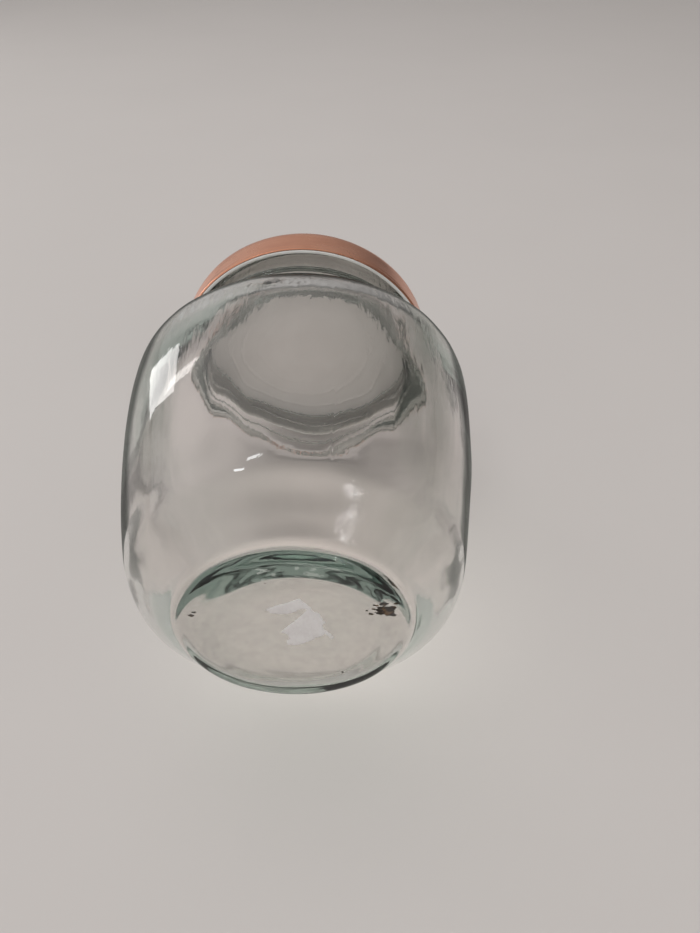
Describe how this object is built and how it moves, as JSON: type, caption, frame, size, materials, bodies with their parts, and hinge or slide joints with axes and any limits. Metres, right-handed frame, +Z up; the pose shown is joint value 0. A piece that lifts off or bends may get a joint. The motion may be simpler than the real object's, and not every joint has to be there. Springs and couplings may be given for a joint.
{
  "type": "specimen jar",
  "caption": "Wide-mouth clear glass jar with a soft square body, ring foot and threaded neck, closed by a copper-finished screw lid with a liner.",
  "frame": {"origin": "centre of the ring foot, on the surface that the jar stands on", "axes": "+Z up along the jar's axis from the base to the lid; the flats of the soft square body face +X, -X, +Y and -Y"},
  "size_m": [0.1296, 0.1296, 0.1606],
  "materials": {
    "glass": "clear, slightly green recycled glass",
    "copper": "satin copper",
    "white_plastic": "satin white",
    "liner": "matte foam",
    "paper": "matte paper"
  },
  "bodies": {
    "jar": {"jar_glass": "glass", "label_remnant": "paper"},
    "liner": {"liner_disc": "liner"},
    "lid": {"lid_shell": "copper", "lid_insert": "white_plastic"}
  },
  "joints": [
    {"name": "lid_rise", "type": "slide", "parent": "jar", "child": "liner", "axis": [0, 0, 1], "range_m": [0, 0.0481]},
    {"name": "lid_turn", "type": "hinge", "parent": "liner", "child": "lid", "pos_m": [0, 0, 0.1571], "axis": [0, 0, 1], "range_deg": [0, 1080]}
  ],
  "couplings": [
    {"joint": "lid_rise", "follows": "lid_turn", "m_per_rad": 0.0025465}
  ]
}
